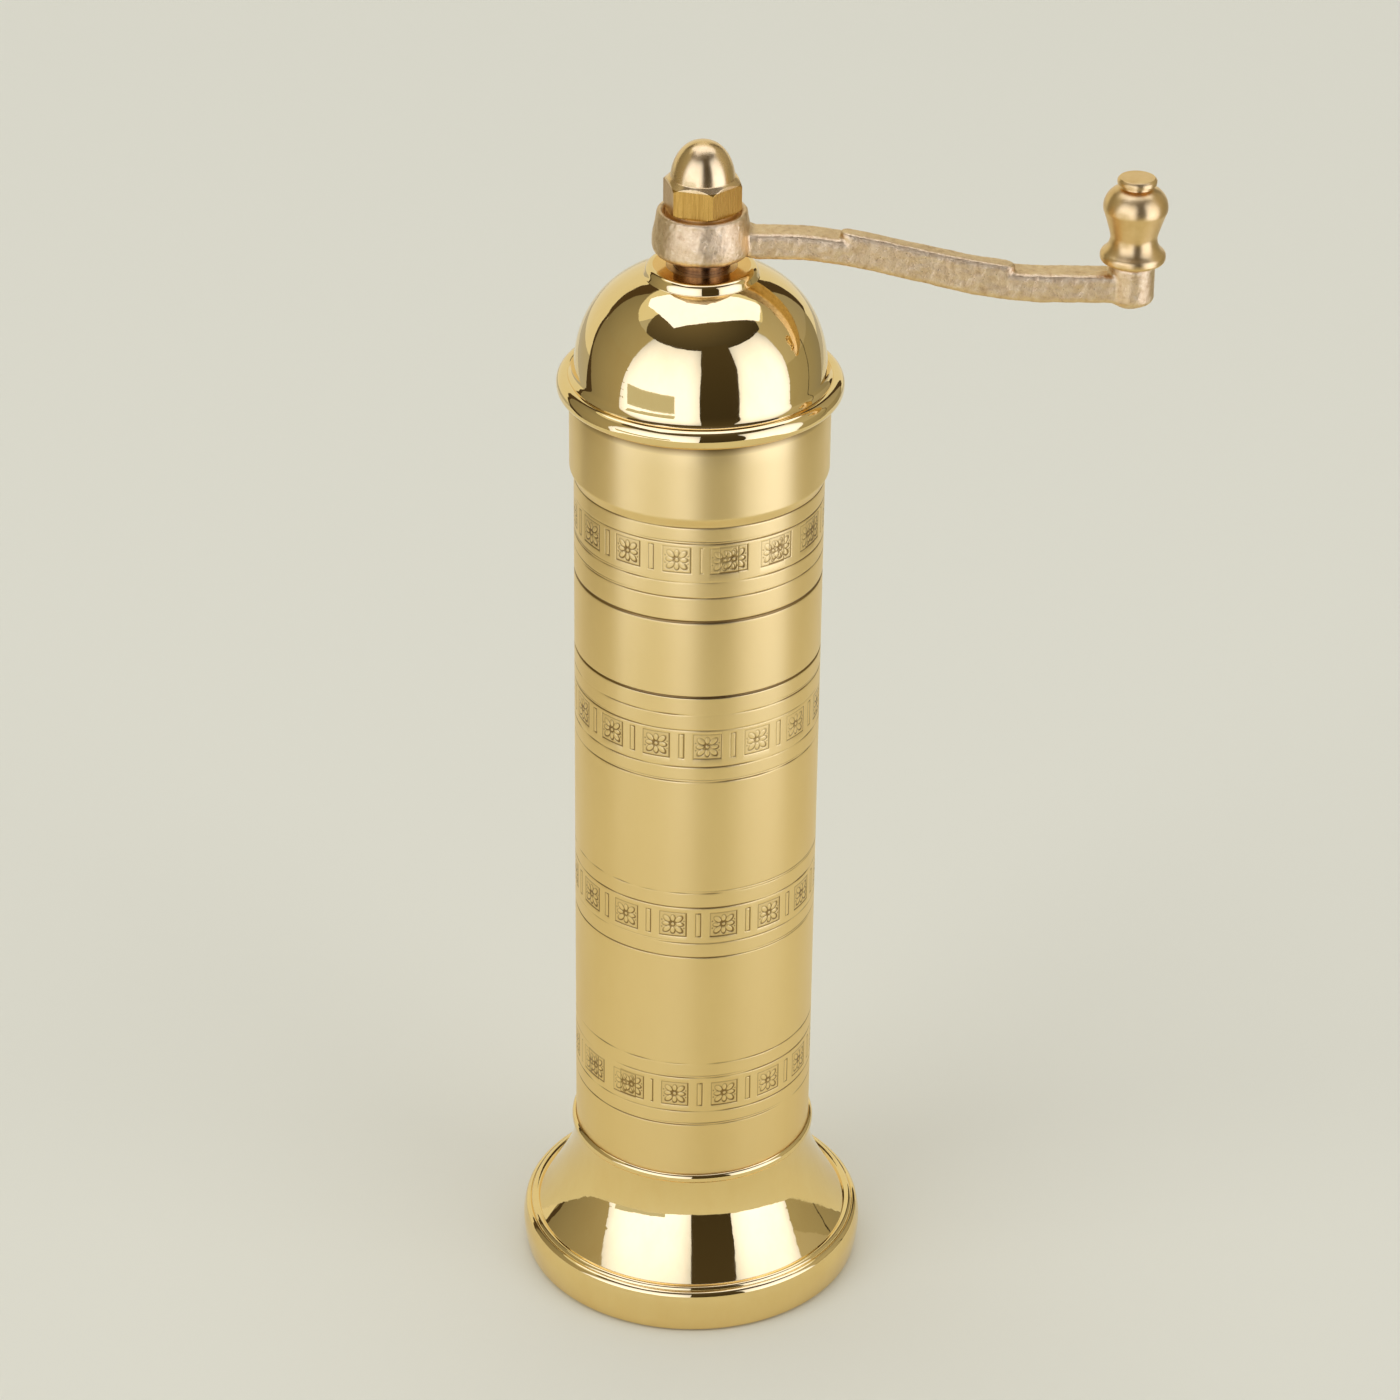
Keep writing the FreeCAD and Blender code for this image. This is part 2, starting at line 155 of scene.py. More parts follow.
def lathe(name, stops, cols=256, rounding=0.12, x=0.0, arcSteps=28, sharp=38.0):
    # a closed (r, z) outline, anticlockwise, carried round the axis at x: (x + r cos a, r sin a, z)
    points = eased(outline(list(stops) + [stops[0][:2]], arcSteps)[:-1], rounding)
    onAxis = points[:, 0] < 1e-5
    poles = None
    if onAxis.any():
        # the outline starts and ends on the axis: a pole at each end closes it
        start = int(np.flatnonzero(onAxis & ~np.roll(onAxis, -1))[0])
        points = np.roll(points, -start, axis=0)
        points = points[:int(np.flatnonzero(points[:, 0] < 1e-5)[1]) + 1]
        poles = np.array([[x, 0, points[0, 1]], [x, 0, points[-1, 1]]])
        points = points[1:-1]
    angle = np.arange(cols) / cols * 2 * np.pi
    r, z = points[:, :1], points[:, 1:]
    grid = np.stack([x + r * np.cos(angle), r * np.sin(angle), z + 0 * angle], -1)
    if poles is not None:
        return cappedRod(name, grid, poles, sharp)
    return meshObject(name, grid.reshape(-1, 3), gridFaces(len(points), cols, True), sharp=sharp)


def applied(obj):
    # bakes an object's modifiers into its mesh
    graph = bpy.context.evaluated_depsgraph_get()
    mesh = bpy.data.meshes.new_from_object(obj.evaluated_get(graph))
    old = obj.data
    obj.modifiers.clear()
    obj.data = mesh
    bpy.data.meshes.remove(old)
    return obj


def joined(name, parts):
    # one mesh from several closed ones
    with bpy.context.temp_override(active_object=parts[0], selected_editable_objects=parts,
                                   selected_objects=parts, object=parts[0]):
        bpy.ops.object.join()
    parts[0].name = name
    return parts[0]


def place(obj, body, slot, material, *nodes):
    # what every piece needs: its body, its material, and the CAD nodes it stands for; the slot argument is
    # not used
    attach(obj, body)
    if nodes:
        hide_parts(*nodes)
    obj.data.materials.clear()
    obj.data.materials.append(material)
    return obj


def secondMaterial(obj, material, chosen):
    # gives the material to those faces whose centre (x, y, z in mm) the chosen test picks
    obj.data.materials.append(material)
    centres = np.empty(len(obj.data.polygons) * 3)
    obj.data.polygons.foreach_get("center", centres)
    picked = chosen(*(centres.reshape(-1, 3).T / mm))
    obj.data.polygons.foreach_set("material_index", picked.astype(np.int32))
    return obj


# materials, all procedural

class Finish:
    # a node material under construction; Object coordinates feed every pattern
    def __init__(self, name, colour, rough, metallic=1.0):
        self.material = bpy.data.materials.new(name)
        self.material.use_nodes = True
        self.nodes, self.links = self.material.node_tree.nodes, self.material.node_tree.links
        self.shader = self.nodes["Principled BSDF"]
        self.shader.inputs["Base Color"].default_value = (*colour, 1)
        self.shader.inputs["Roughness"].default_value = rough
        self.shader.inputs["Metallic"].default_value = metallic
        self.coords = self.nodes.new("ShaderNodeTexCoord").outputs["Object"]
        self.bumped = None

    def noise(self, stretch, detail=3.0, rough=0.55):
        # noise whose features per metre differ along x, y and z
        mapping = self.nodes.new("ShaderNodeMapping")
        mapping.inputs["Scale"].default_value = stretch
        noise = self.nodes.new("ShaderNodeTexNoise")
        noise.inputs["Scale"].default_value = 1.0
        noise.inputs["Detail"].default_value = detail
        noise.inputs["Roughness"].default_value = rough
        self.links.new(self.coords, mapping.inputs["Vector"])
        self.links.new(mapping.outputs["Vector"], noise.inputs["Vector"])
        return noise.outputs["Fac"]

    def ranged(self, value, fromLow, fromHigh, toLow, toHigh):
        # straight line from (fromLow, toLow) to (fromHigh, toHigh), held beyond its ends
        node = self.nodes.new("ShaderNodeMapRange")
        for socket, number in zip(("From Min", "From Max", "To Min", "To Max"),
                                  (fromLow, fromHigh, toLow, toHigh)):
            node.inputs[socket].default_value = number
        self.links.new(value, node.inputs["Value"])
        return node.outputs["Result"]

    def colours(self, value, *stops):
        # colour ramp: (place, colour) stops
        ramp = self.nodes.new("ShaderNodeValToRGB")
        for k, (place, colour) in enumerate(stops):
            element = ramp.color_ramp.elements[k] if k < 2 else ramp.color_ramp.elements.new(place)
            element.position, element.color = place, (*colour, 1)
        self.links.new(value, ramp.inputs["Fac"])
        return ramp.outputs["Color"]

    def mixed(self, value, colourA, colourB):
        # colourA where value is 0, colourB where it is 1
        node = self.nodes.new("ShaderNodeMix")
        node.data_type = "RGBA"
        for socket, colour in ((node.inputs[6], colourA), (node.inputs[7], colourB)):
            if isinstance(colour, tuple):
                socket.default_value = (*colour, 1)
            else:
                self.links.new(colour, socket)
        self.links.new(value, node.inputs[0])
        return node.outputs[2]

    def attribute(self, name):
        # a value stored on the mesh's points
        node = self.nodes.new("ShaderNodeAttribute")
        node.attribute_name = name
        return node.outputs["Fac"]

    def bump(self, height, strength, distance):
        # each bump lies on top of the one before
        node = self.nodes.new("ShaderNodeBump")
        node.inputs["Strength"].default_value = strength
        node.inputs["Distance"].default_value = distance
        self.links.new(height, node.inputs["Height"])
        if self.bumped:
            self.links.new(self.bumped, node.inputs["Normal"])
        self.bumped = node.outputs["Normal"]
        self.links.new(self.bumped, self.shader.inputs["Normal"])

    def grooved(self, amount):
        # lathe marks run round the axis, so reflections spread along z
        upright = self.nodes.new("ShaderNodeCombineXYZ")
        upright.inputs["Z"].default_value = 1.0
        self.links.new(upright.outputs[0], self.shader.inputs["Tangent"])
        self.shader.inputs["Anisotropic"].default_value = amount

    def set(self, socket, value):
        self.links.new(value, self.shader.inputs[socket])


def mirrorBrass():
    # spun and buffed, with faint smears that dull it
    f = Finish("mirrorBrass", (0.90, 0.68, 0.29), 0.03)
    f.bump(f.noise((230, 230, 120), 2.0), 0.045, 0.0006)     # spinning ripple, a few mm long
    f.bump(f.noise((900, 900, 900), 2.0), 0.03, 0.00008)     # buffing
    smears = f.noise((130, 130, 60), 5.0, 0.7)
    f.set("Roughness", f.ranged(smears, 0.35, 0.75, 0.018, 0.075))
    f.set("Base Color", f.mixed(f.ranged(smears, 0.4, 0.8, 0, 1), (0.90, 0.68, 0.29), (0.87, 0.63, 0.25)))
    return f.material


def satinBrass():
    # brushed round the tube, with painted shade darkening each struck line and the chamfered joint
    f = Finish("satinBrass", (0.90, 0.67, 0.27), 0.36)
    f.grooved(0.52)
    rings = f.noise((25, 25, 5200), 3.0, 0.6)                # lathe marks run round the tube
    f.bump(rings, 0.06, 0.00006)
    f.bump(f.noise((160, 160, 70), 2.0), 0.05, 0.0003)
    cloud = f.noise((45, 45, 22), 4.0, 0.6)
    f.set("Roughness", f.ranged(cloud, 0.3, 0.7, 0.33, 0.39))
    clean = f.mixed(f.ranged(cloud, 0.3, 0.75, 0, 1), (0.90, 0.67, 0.27), (0.87, 0.63, 0.235))
    struckShade = f.attribute("sunk")                               # 1 at the bottom of a struck line, where the painted shade is darkest
    # painted shade: struck lines and chamfers are mixed towards dark brown by their depth
    f.set("Base Color", f.mixed(f.ranged(struckShade, 0.15, 0.7, 0, 0.95), clean, (0.27, 0.16, 0.045)))
    return f.material


def castBrass():
    # sand-cast skin: lumps under a fine grain
    f = Finish("castBrass", (0.70, 0.49, 0.20), 0.42)
    grain = f.noise((2800, 2800, 2800), 3.0, 0.7)
    lumps = f.noise((760, 760, 760), 4.0, 0.65)
    f.bump(lumps, 0.28, 0.00022)
    f.bump(grain, 0.55, 0.00013)
    f.set("Roughness", f.ranged(grain, 0.3, 0.7, 0.26, 0.5))
    f.set("Base Color", f.colours(lumps, (0.28, (0.56, 0.36, 0.15)), (0.44, (0.73, 0.51, 0.235)),
                                  (0.62, (0.80, 0.585, 0.28)), (0.8, (0.88, 0.69, 0.39))))
    return f.material


def lathedBrass(name, bright, dull, rough, spread):
    # turned on a lathe: fine rings, and reflections that spread along z
    f = Finish(name, bright, rough[0])
    f.grooved(spread)
    f.bump(f.noise((40, 40, 6000), 3.0, 0.65), 0.12, 0.00008)
    cloud = f.noise((300, 300, 300), 4.0, 0.6)
    f.set("Roughness", f.ranged(cloud, 0.3, 0.7, *rough))
    f.set("Base Color", f.mixed(f.ranged(cloud, 0.35, 0.75, 0, 0.8), bright, dull))
    return f.material


def drawnHex():
    f = Finish("drawnHex", (0.54, 0.30, 0.055), 0.28)
    streaks = f.noise((5200, 5200, 120), 3.0, 0.7)           # drawing marks run up the flats
    f.bump(streaks, 0.2, 0.0001)
    f.set("Roughness", f.ranged(streaks, 0.3, 0.7, 0.2, 0.36))
    f.set("Base Color", f.mixed(f.ranged(streaks, 0.3, 0.7, 0, 1), (0.56, 0.32, 0.06), (0.42, 0.22, 0.035)))
    return f.material


def oiledBronze():
    f = Finish("oiledBronze", (0.30, 0.19, 0.11), 0.22)
    f.bump(f.noise((60, 60, 5000), 3.0), 0.1, 0.00006)
    stain = f.noise((700, 700, 400), 4.0, 0.7)
    f.set("Base Color", f.mixed(f.ranged(stain, 0.35, 0.65, 0, 1), (0.34, 0.22, 0.13), (0.16, 0.09, 0.05)))
    return f.material


def brightSteel():
    f = Finish("brightSteel", (0.62, 0.58, 0.50), 0.26)
    f.bump(f.noise((80, 80, 4500), 3.0), 0.1, 0.00006)
    f.set("Roughness", f.ranged(f.noise((400, 400, 400), 4.0), 0.3, 0.7, 0.2, 0.38))
    return f.material


def burrSteel():
    f = Finish("burrSteel", (0.36, 0.33, 0.28), 0.4)
    grain = f.noise((1500, 1500, 1500), 4.0, 0.65)
    f.bump(grain, 0.25, 0.0001)
    f.set("Base Color", f.mixed(f.ranged(grain, 0.3, 0.7, 0, 1), (0.40, 0.37, 0.31), (0.25, 0.23, 0.20)))
    return f.material


def castIron():
    f = Finish("castIron", (0.17, 0.155, 0.125), 0.5)
    grain = f.noise((1300, 1300, 1300), 5.0, 0.7)
    f.bump(grain, 0.5, 0.0002)
    f.set("Roughness", f.ranged(grain, 0.3, 0.7, 0.38, 0.62))
    f.set("Base Color", f.mixed(f.ranged(grain, 0.35, 0.7, 0, 1), (0.21, 0.19, 0.155), (0.11, 0.098, 0.08)))
    return f.material


mirror, satin, cast = mirrorBrass(), satinBrass(), castBrass()
turned = lathedBrass("turnedBrass", (0.82, 0.57, 0.23), (0.72, 0.46, 0.15), (0.30, 0.35), 0.5)
nutTop = lathedBrass("nutTop", (0.84, 0.60, 0.26), (0.76, 0.50, 0.19), (0.22, 0.30), 0.5)
# painted reflection: a redder brass for the cap's flat top, standing for the hub's amber underside mirrored
# there
paintedReflectionTop = lathedBrass("paintedReflectionTop", (0.86, 0.54, 0.15), (0.80, 0.47, 0.11), (0.07, 0.12), 0.0)
hexFlat, bronze, steel, burr, iron = drawnHex(), oiledBronze(), brightSteel(), burrSteel(), castIron()
print("materials ready")


# foot and cap, spun and mirror polished

def makeFoot():
    # one (r, z) outline: underside, rolled rim, steps, trumpet flare and lip, then back down inside
    rim, z0, z1 = span("base_shell")
    rim -= inset
    bore = span("receiver_tube")[0]
    foot = {"flareFoot": (rim - 2.9, 9.5), "hollow": (bore + 1.8, 19.3), "neck": (bore + 0.35, 26.0),
            "lip": bore + 0.75, "wall": 1.0, "seat": 27.35, "solder": 0.04,
            "flareInside": ((23.35, 18.9, 22.2, 22.4), (28.9, 9.3, 25.9, 13.7), (31.0, 7.9, 30.2, 8.7)),
            "rimInside": ((5.2, 31.75, 6.6), (31.1, 1.7, 31.7, 3.2))}
    tubeSide, inside = bore + foot["solder"], bore - foot["wall"]
    stops = [
        (rim - 2.9, z0), (rim - 1.7, z0), (rim - 0.5, z0 + 1.2, rim - 0.9, z0 + 0.35),
        (rim, 5.2, rim - 0.15, 3.2), (rim - 0.35, 7.9, rim - 0.05, 6.6),
        (rim - 1.3, 9.05, rim - 0.65, 8.7), (rim - 1.5, 8.93), (rim - 2.65, 9.55, rim - 1.95, 9.6),
        foot["flareFoot"], (*foot["hollow"], bore + 4.3, 14.25), (*foot["neck"], bore + 0.78, 22.6),
        (bore + 0.4, z1 - 1.7), (foot["lip"], z1 - 1.0, foot["lip"] - 0.03, z1 - 1.45),
        (bore + 0.15, z1, foot["lip"] - 0.15, z1 - 0.3), (tubeSide, z1 - 0.1), (tubeSide, foot["seat"]),
        (inside, foot["seat"]), (inside, foot["neck"][1]), *foot["flareInside"],
        (rim - foot["wall"], *foot["rimInside"][0]), foot["rimInside"][1], (rim - 2.9, 1.4)]
    piece = lathe("spunFoot", stops, cols=336, arcSteps=44, rounding=0.1)
    return place(piece, "receiver", "spun_brass", mirror, "base_shell")


def domeCurve(cap, thick, fromZ, toR, count=72):
    # superellipse (r / wide)^p + ((z - z0) / high)^p = 1 from height fromZ in to radius toR
    wide, high, p = cap["wide"] - thick, cap["high"] - thick, cap["power"]
    low = math.asin(((fromZ - cap["z0"]) / high) ** (p / 2))
    top = math.acos((toR / wide) ** (p / 2))
    t = np.linspace(low, top, count)
    return list(zip(wide * np.cos(t) ** (2 / p), cap["z0"] + high * np.sin(t) ** (2 / p)))


def makeCap():
    # one (r, z) outline: bead, fillet, dome, collar and flat top, then the same dome back inside
    bead, z0, top = span("dome_cap")
    mouth = span("cap_skirt")[0]
    bead -= inset
    cap = {"wide": 22.58, "z0": z0 + 2.5, "high": 21.3, "power": 2.37, "foot": z0 + 4.9, "collarR": 10.2,
           "hole": 6.22, "thick": 0.8, "underR": 9.2, "flatR": 8.5}
    outer = domeCurve(cap, 0.0, cap["foot"], cap["collarR"])
    inner = domeCurve(cap, cap["thick"], cap["foot"], cap["underR"])[::-1]
    underside = top - cap["thick"]
    stops = [(mouth + 0.05, z0), (bead - 0.95, z0), (bead, z0 + 1.4, bead - 0.25, z0 + 0.45),
             (23.6, z0 + 3.45, bead - 0.5, z0 + 3.0), (23.4, z0 + 3.35), (*outer[0], 22.85, z0 + 3.9)]
    stops += outer[1:]
    stops += [(9.95, top - 1.1), (8.6, top, 9.6, top - 0.3), (cap["hole"], top),
              (cap["hole"], underside), (cap["underR"], underside)]
    stops += inner + [(mouth + 0.05, z0 + 2.6)]
    piece = lathe("spunCap", stops, cols=384, arcSteps=30, rounding=0.1)
    place(piece, "cap", "spun_brass", mirror, "dome_cap")
    # the flat top gets a redder brass, a painted reflection of the hub's amber underside
    return secondMaterial(piece, paintedReflectionTop, lambda x, y, z: (z > top - 0.06) & (np.hypot(x, y) < cap["flatR"]))


makeFoot()
makeCap()
print("foot and cap made")


# tube, with rolled lines and struck rosettes

tube = {
    "bandPitch": 37.4, "lowestBand": 47.9, "lines": (-6.9, -3.8, 3.8, 6.9),
    "rosetteLift": (0.1, 0.15, 0.45, 0.6),           # how far each row sits above its lines' middle
    "firstRosette": (-8.6, -10.2, 5.1, -9.8),        # degrees from the front towards the crank
    "count": 15, "halfSquare": 2.5, "barHalf": (0.45, 2.45), "labelTop": 148.4,
    "struckTwice": {3: (1, 2, 3), 0: (13, 14)},      # squares that the roll struck twice, by row
    "lineDepth": 0.10, "boldDepth": 0.22, "wall": 1.0, "joggle": (167.0, 169.2),
    "jointChamfer": (0.28, 0.36), "mouthChamfer": (0.2, 0.25),     # depth and height
    "halfBand": 3.25, "halfRow": 2.75, "plainCols": 480, "rosetteCols": 1500}


# petals: size of an upright one, and what a diagonal one adds
rosette = {"reach": (1.28, 0.26), "length": (0.74, 0.18), "width": (0.46, 0.08), "ringR": 0.42,
           "notchR": 1.25, "corner": (2.1, 0.75), "lineWidth": 0.13}


def bandMiddle(band):
    # middle height of a row's four lines
    return tube["lowestBand"] + tube["bandPitch"] * band


def rowMiddle(band):
    # middle height of the rosettes in it
    return bandMiddle(band) + tube["rosetteLift"][band]


def line(distance, width):
    # rounded groove: exp(-(distance / width)^2)
    return np.exp(-(distance / width) ** 2)


def ease(t):
    # 3t^2 - 2t^3 between 0 and 1, level outside
    t = np.clip(t, 0, 1)
    return t * t * (3 - 2 * t)


def wander(angle, seed, terms=6):
    # smooth periodic noise from -1 to 1: a seeded sum of sines that close after one turn
    draw = np.random.default_rng(seed)
    total = sum(draw.normal() / k ** 0.7 * np.sin(k * angle + draw.uniform(0, 2 * np.pi))
                for k in range(1, terms + 1))
    return total / (np.abs(total).max() + 1e-9)


def flower(s, t):
    # struck square: frame line, eight petals in outline, ring in the middle; s, t in mm
    half = tube["halfSquare"]
    rho, phi = np.hypot(s, t), np.arctan2(t, s)
    spoke = np.round(phi / (np.pi / 4))
    diagonal = np.abs(spoke) % 2
    along, across = rho * np.cos(phi - spoke * np.pi / 4), rho * np.sin(phi - spoke * np.pi / 4)
    reach, length, width = (base + more * diagonal
                            for base, more in (rosette["reach"], rosette["length"], rosette["width"]))
    petal = np.hypot((along - reach) / length, across / width) - 1.0
    border = np.maximum(np.abs(s), np.abs(t)) - half
    inside = ease(-border / 0.18)
    ground = 0.22 * inside * ease(petal / 0.3)
    spokeAngle = spoke * np.pi / 4
    ds, dt = s - reach * np.cos(spokeAngle), t - reach * np.sin(spokeAngle)
    lean = (ds - dt) / (np.hypot(ds, dt) + 0.05)                 # + at each petal's lower right, whose outline is struck deeper and painted darker: painted shade
    rims = (0.72 + 0.24 * lean) * line(petal * 0.48, 0.12) * inside
    notch = np.abs(phi / (np.pi / 4) - spoke) * 2                # 1 halfway between two petals
    notches = 0.8 * notch ** 3 * line(rho - rosette["notchR"], 0.42)
    cornerS, cornerT = rosette["corner"]
    corners = 0.7 * inside * line(np.hypot(np.abs(s) - cornerS, np.abs(t) - cornerT), 0.2)
    ring = line(rho - rosette["ringR"], rosette["lineWidth"])
    shade = np.where((s - t) > 0, 0.98, 0.55)                    # painted shade: lower-right frame lines struck deeper and darker, as if lit from the upper left
    edge = shade * line(border, rosette["lineWidth"])
    return np.maximum.reduce([ground, rims, notches, corners, ring, edge])


def bar(s, t):
    # narrow upright rectangle in outline
    halfWide, halfHigh = tube["barHalf"]
    border = np.maximum(np.abs(s) - halfWide, np.abs(t) - halfHigh)
    # painted shade: the right-hand line is struck deeper, so painted darker, than the left
    return np.where(s > 0, 1.0, 0.6) * line(border, 0.12)


def bandField(angle, z, band):
    # depth from 0 to 1 of one row of rosettes and bars at angles (radians from the front) and heights
    pitch = 2 * np.pi / tube["count"]
    radius = span("receiver_tube")[0]
    first = math.radians(tube["firstRosette"][band])
    cell = np.round((angle - first) / pitch)
    s, t = radius * (angle - first - cell * pitch), z - rowMiddle(band)
    cell = cell.astype(int) % tube["count"]
    field = flower(s, t)
    again = np.isin(cell, tube["struckTwice"].get(band, ()))
    doubled = np.maximum(flower(s - 0.75, t - 0.05), 0.8 * flower(s + 0.95, t + 0.12))
    field = np.where(again, doubled, field)
    between = s - np.sign(s) * radius * pitch / 2
    field = np.maximum(field, np.where(again, 0, 1) * bar(between, t))
    strength = 0.88 + 0.25 * wander(angle, 40 + band)
    return field * np.clip(strength, 0.35, 1.0)


def ringField(angle, z):
    # depth in mm of the rolled lines, each fading and drifting a little on its way round
    depth = np.zeros_like(angle * z)
    for band in range(4):
        for k, offset in enumerate(tube["lines"]):
            seed = 100 + band * 10 + k
            height = bandMiddle(band) + offset + 0.05 * wander(angle, seed)
            fade = np.clip(0.62 + 0.62 * wander(angle, seed + 500, 26), 0.12, 1.0)
            depth = np.maximum(depth, tube["lineDepth"] * fade * line(z - height, 0.16))
            second = np.clip(wander(angle, seed + 900, 4) - 0.1, 0, 1)
            depth = np.maximum(depth, tube["lineDepth"] * 0.7 * second * line(z - height - 0.42, 0.12))
    depth = np.maximum(depth, tube["boldDepth"] * line(z - tube["labelTop"], 0.26))
    return depth


def heights(low, high, dense, step, coarse):
    # heights between low and high: every step mm inside the dense spans, coarse elsewhere
    rows = [np.arange(low, high, coarse), [high]]
    for a, b in dense:
        a, b = max(a, low), min(b, high)
        if b > a:
            rows.append(np.arange(a, b, step))
    rows = np.unique(np.round(np.concatenate(rows), 3))
    keep = np.concatenate([[True], np.diff(rows) > step * 0.45])
    keep[-1] = True
    return rows[keep]


def tubeRing(name, low, high, cols, band=None):
    # closed ring: outside wall r(z) less the struck depth, chamfered ends where the halves part
    bodyR, joint = span("receiver_tube")[0], span("receiver_tube")[2]
    mouthR, mouthTop = span("upper_tube")[0], span("upper_tube")[2]
    wall, joggle = tube["wall"], tube["joggle"]
    if band is None:
        spots = [(bandMiddle(b) + offset, 0.75) for b in range(4) for offset in tube["lines"]]
        spots += [(tube["labelTop"], 0.7), (joint, 0.7), (joggle[0], 0.6), (joggle[1], 0.6)]
        z = heights(low, high, [(spot - w, spot + w) for spot, w in spots], 0.07, 2.5)
    else:
        middle, half = rowMiddle(band), tube["halfRow"]
        z = heights(low, high, [(middle - half, middle + half)], 0.115, 1.0)
    angle = np.arange(cols)[None, :] / cols * 2 * np.pi                   # from the front, -Y
    rise = z[:, None]
    step = ease((rise - joggle[0]) / (joggle[1] - joggle[0]))
    radius = bodyR + (mouthR - bodyR) * step + 0 * angle
    depth = ringField(angle, rise)
    if band is not None:
        depth = np.maximum(depth, tube["lineDepth"] * bandField(angle, rise, band))
    for edge, (cut, tall) in ((joint, tube["jointChamfer"]), (mouthTop, tube["mouthChamfer"])):
        if min(abs(low - edge), abs(high - edge)) < 0.01:
            depth = np.maximum(depth, cut * ease(1 - np.abs(rise - edge) / tall) + 0 * angle)
    outer = radius - depth
    inner = np.stack([radius[0] - wall, radius[-1] - wall])
    turn = angle[0] - np.pi / 2
    if high > joggle[1]:
        shelf = np.array([joggle[1] + 0.4, joggle[0] + 0.4])
        shelfR = np.array([mouthR - wall, bodyR - wall])
    else:
        shelf, shelfR = np.zeros(0), np.zeros(0)
    down = np.concatenate([[z[-1]], shelf, [z[0]]])
    downR = np.concatenate([[inner[1, 0]], shelfR, [inner[0, 0]]])
    allZ = np.concatenate([z, down])[:, None] + 0 * angle
    allR = np.concatenate([outer, downR[:, None] + 0 * angle])
    points = np.stack([allR * np.cos(turn), allR * np.sin(turn), allZ], -1)
    obj = meshObject(name, points.reshape(-1, 3), gridFaces(len(allZ), cols, True), sharp=50)
    # depth as a fraction of a line's, which the satin finish turns into painted shade
    sunk = np.concatenate([depth / tube["lineDepth"], np.zeros((len(down), cols))])
    layer = obj.data.attributes.new("sunk", "FLOAT", "POINT")
    layer.data.foreach_set("value", np.clip(sunk, 0, 1).astype(np.float32).ravel())
    return obj


def makeTubes():
    # plain rings and rosette rings by turns; the tube parts at the joint between two plain ones
    joint = span("receiver_tube")[2]
    low, top = span("receiver_tube")[1], span("upper_tube")[2]
    half, plain, fine = tube["halfBand"], tube["plainCols"], tube["rosetteCols"]
    middles = [bandMiddle(band) for band in range(4)]
    cuts = [low] + [c + s * half for c in middles[:3] for s in (-1, 1)] + [joint]

    def ring(name, low, high, cols, body, band=None, stoodFor=()):
        place(tubeRing(name, low, high, cols, band), body, "tube_brass", satin, *stoodFor)

    for k in range(4):
        ring(f"receiverWall{k + 1}", cuts[2 * k], cuts[2 * k + 1], plain, "receiver",
             stoodFor=["receiver_tube"] if k == 0 else [])
    for k in range(3):
        ring(f"rosetteBand{k + 1}", middles[k] - half, middles[k] + half, fine, "receiver", k)
    ring("labelWall", joint, middles[3] - half, plain, "upper_body", stoodFor=["upper_tube"])
    ring("rosetteBand4", middles[3] - half, middles[3] + half, fine, "upper_body", 3)
    ring("mouthWall", middles[3] + half, top, plain, "upper_body")


makeTubes()
print("tubes made")


# crank as one sand casting, with its nut and knob

crank = {"width": 6.0, "rootZ": 209.3, "drop": 7.6, "dropFrom": 14.0, "dropOver": 46.0, "depth": 4.8,
         "thicker": 0.5, "padFrom": 24.0, "padTo": 54.5, "padLift": 1.4, "padWidth": 3.6,
         "recess": 6.75, "recessFloor": 216.8, "hubFoot": 209.8, "bossFoot": 200.6, "bossTop": 208.8,
         "bossR": 4.05, "voxel": 0.25, "ripple": 0.022, "waves": (6.0, 3.5, 2.2, 1.4, 0.9, 0.7)}


def armLow(x):
    # underside: level, an S of cubic ease, level again
    return crank["rootZ"] - crank["drop"] * ease((x - crank["dropFrom"]) / crank["dropOver"])


def armHigh(x):
    # top: the underside plus a depth that grows a little towards the knob
    return armLow(x) + crank["depth"] + crank["thicker"] * ease((x - 20) / 40)


def squareBar(name, x, yLow, yHigh, zLow, zHigh, softness=0.9, cols=40):
    # rounded rectangle |u|^n + |v|^n = 1 carried along x between the given sides
    angle = np.arange(cols) / cols * 2 * np.pi
    power = 2 / (3.2 + 2.6 / softness)
    u = np.sign(np.cos(angle)) * np.abs(np.cos(angle)) ** power
    v = np.sign(np.sin(angle)) * np.abs(np.sin(angle)) ** power
    middleY, middleZ = (yLow + yHigh) / 2, (zLow + zHigh) / 2
    halfY, halfZ = (yHigh - yLow) / 2, (zHigh - zLow) / 2
    points = np.stack([x[:, None] + 0 * angle, middleY[:, None] + halfY[:, None] * u,
                       middleZ[:, None] + halfZ[:, None] * v], -1)
    ends = [[x[0], middleY[0], middleZ[0]], [x[-1], middleY[-1], middleZ[-1]]]
    return cappedRod(name, points, ends)


